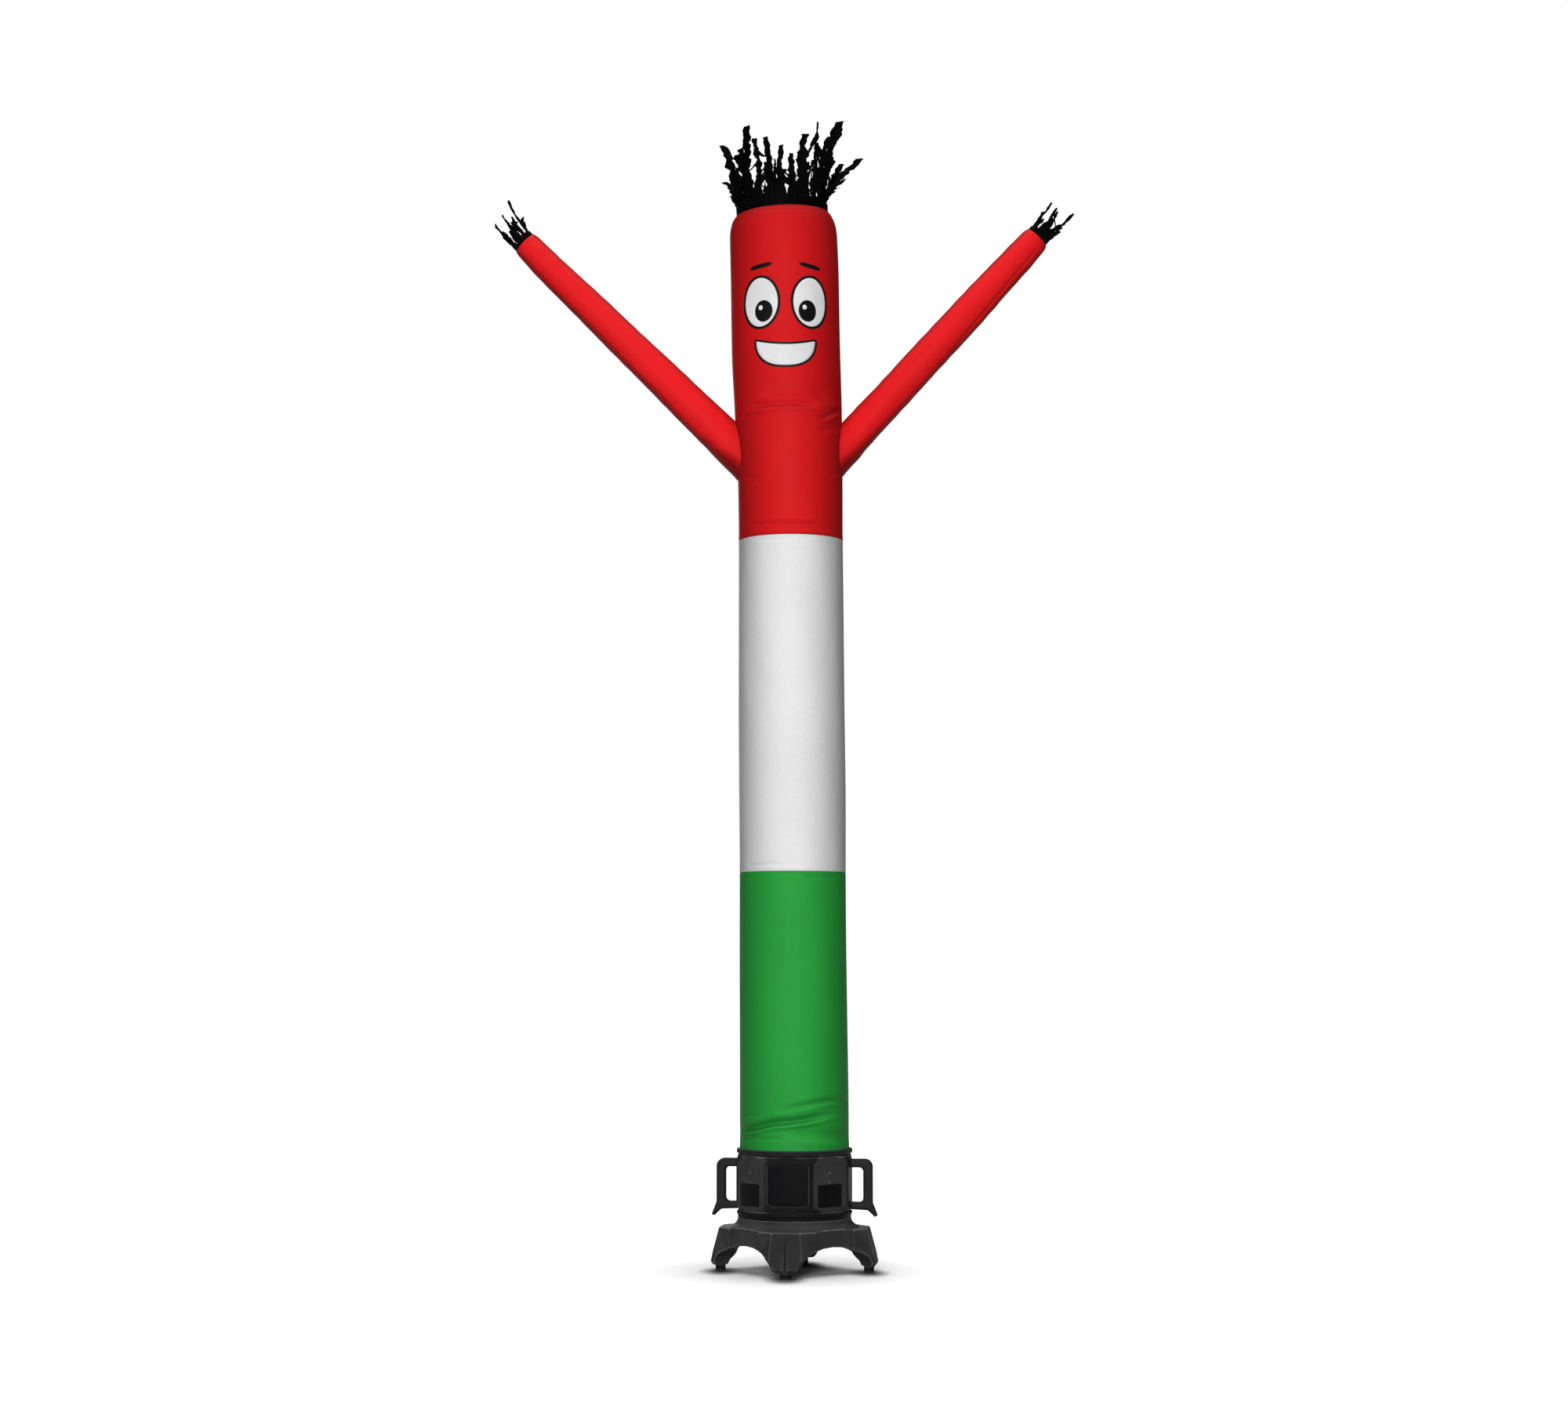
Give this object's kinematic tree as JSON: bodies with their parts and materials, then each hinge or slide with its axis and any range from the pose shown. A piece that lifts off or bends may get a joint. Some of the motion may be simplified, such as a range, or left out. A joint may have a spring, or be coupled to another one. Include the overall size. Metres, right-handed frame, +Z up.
{
  "type": "inflatable air dancer on a fan blower",
  "caption": "Tall inflatable cloth tube in bands of colour, with raised arms, fringed hair and hands and a cartoon face, that stands and waves on an electric fan blower.",
  "frame": {"origin": "on the ground, under the middle of the arm span; the blower's axis stands 27 mm to +X of it", "axes": "+Z up, the face looks along -Y, +X towards the arm on the viewer's right"},
  "size_m": [1.6744, 0.4698, 3.2769],
  "materials": {
    "red_cloth": "coated ripstop nylon, satin",
    "white_cloth": "coated ripstop nylon, satin",
    "green_cloth": "coated ripstop nylon, satin",
    "black_ribbon": "nylon strips, matt",
    "housing_plastic": "moulded polyethylene, fine grain",
    "handle_plastic": "moulded plastic, smooth satin",
    "label_black": "blank plastic plate, satin",
    "boss_metal": "dull zinc",
    "pad_rubber": "moulded rubber, matt"
  },
  "bodies": {
    "root": {"tube_green": "green_cloth", "tube_white": "white_cloth", "tube_red": "red_cloth", "arm_left": "red_cloth", "arm_right": "red_cloth", "hair_fringe": "black_ribbon", "hand_fringe_left": "black_ribbon", "hand_fringe_right": "black_ribbon", "blower_housing": "housing_plastic", "blower_base": "housing_plastic", "handle_left": "handle_plastic", "handle_right": "handle_plastic", "cable_gland": "handle_plastic", "label_left": "label_black", "label_right": "label_black", "boss_left_upper": "boss_metal", "boss_left_lower": "boss_metal", "boss_right_upper": "boss_metal", "boss_right_lower": "boss_metal", "pad_right": "pad_rubber", "pad_back": "pad_rubber", "pad_left": "pad_rubber", "pad_front": "pad_rubber"}
  },
  "joints": []
}
